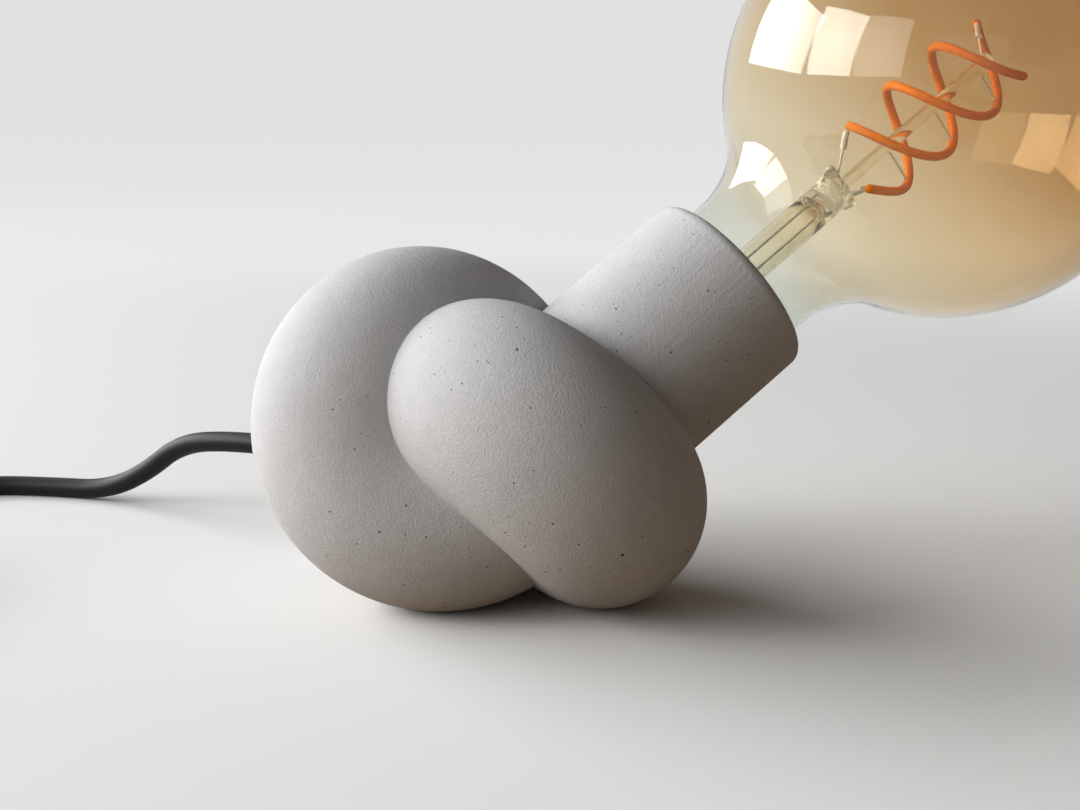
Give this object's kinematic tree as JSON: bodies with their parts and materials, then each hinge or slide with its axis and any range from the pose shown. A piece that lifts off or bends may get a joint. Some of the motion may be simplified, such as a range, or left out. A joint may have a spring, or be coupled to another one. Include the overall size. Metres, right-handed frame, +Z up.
{
  "type": "table lamp",
  "caption": "Table lamp with a foot of concrete tube tied in an open knot, an amber globe bulb screwed into its neck, and a black lead with a rocker switch and a plug.",
  "frame": {"origin": "centre of the front foot's ground face, on the table", "axes": "+Z up from the table, +X the way that the neck leans, +Y away from the picture's viewer"},
  "size_m": [0.4993, 0.235, 0.1968],
  "materials": {
    "concrete": "cast, matte, with small pores",
    "black_pvc": "smooth, satin",
    "black_rubber": "moulded, matte",
    "black_phenolic": "moulded, satin",
    "porcelain": "glazed",
    "zinc_steel": "zinc plated",
    "brass": "rolled",
    "wire_insulation": "extruded",
    "amber_glass": "blown, amber tint",
    "clear_glass": "drawn, clear",
    "filament_coating": "soft orange coating",
    "nickel_wire": "drawn",
    "nickel_plate": "nickel plated",
    "black_glass": "opaque black",
    "tinned_contact": "tinned",
    "circuit_board": "solder mask",
    "black_abs": "moulded, fine texture"
  },
  "bodies": {
    "lamp": {"concrete_body": "concrete", "inner_lead": "black_pvc", "cord_to_switch": "black_pvc", "cord_to_coil": "black_pvc", "lead_coil": "black_pvc", "cord_to_plug": "black_pvc", "strain_relief": "black_rubber", "plug_relief": "black_rubber", "coil_ties": "black_rubber", "holder_skirt": "black_phenolic", "holder_dome": "black_phenolic", "holder_core": "porcelain", "holder_grub_screw": "zinc_steel", "holder_nipple": "zinc_steel", "lock_nut": "zinc_steel", "lock_washer": "zinc_steel", "terminal_screws": "zinc_steel", "switch_screws": "zinc_steel", "holder_screw_shell": "brass", "holder_centre_contact": "brass", "holder_side_contact": "brass", "threaded_insert": "brass", "switch_contacts": "brass", "conductors": "wire_insulation", "plug_pins": "nickel_plate", "switch_base": "black_abs", "switch_cover": "black_abs", "plug_body": "black_abs"},
    "bulb_foot": {"bulb_cap_insulator": "black_glass", "bulb_centre_contact": "tinned_contact"},
    "bulb": {"bulb_globe": "amber_glass", "bulb_stem": "clear_glass", "led_filament": "filament_coating", "filament_end_clips": "nickel_wire", "lead_wires": "nickel_wire", "bulb_centre_rod": "clear_glass", "filament_supports": "nickel_wire", "bulb_cap_shell": "nickel_plate", "bulb_driver_board": "circuit_board"},
    "rocker": {"switch_rocker": "black_abs"}
  },
  "joints": [
    {"name": "bulb_lift", "type": "slide", "parent": "lamp", "child": "bulb_foot", "axis": [0.7934, 0, 0.6088], "range_m": [0, 0.01452]},
    {"name": "bulb_turn", "type": "hinge", "parent": "bulb_foot", "child": "bulb", "pos_m": [0.04282, 0.00189, 0.08433], "axis": [0.7934, 0, 0.6088], "range_deg": [0, 1440]},
    {"name": "rocker_tilt", "type": "hinge", "parent": "lamp", "child": "rocker", "pos_m": [-0.208, 0.064, 0.014], "axis": [-1, 0, 0], "range_deg": [0, 16]}
  ],
  "couplings": [
    {"joint": "bulb_lift", "follows": "bulb_turn", "m_per_rad": 0.00057757}
  ]
}
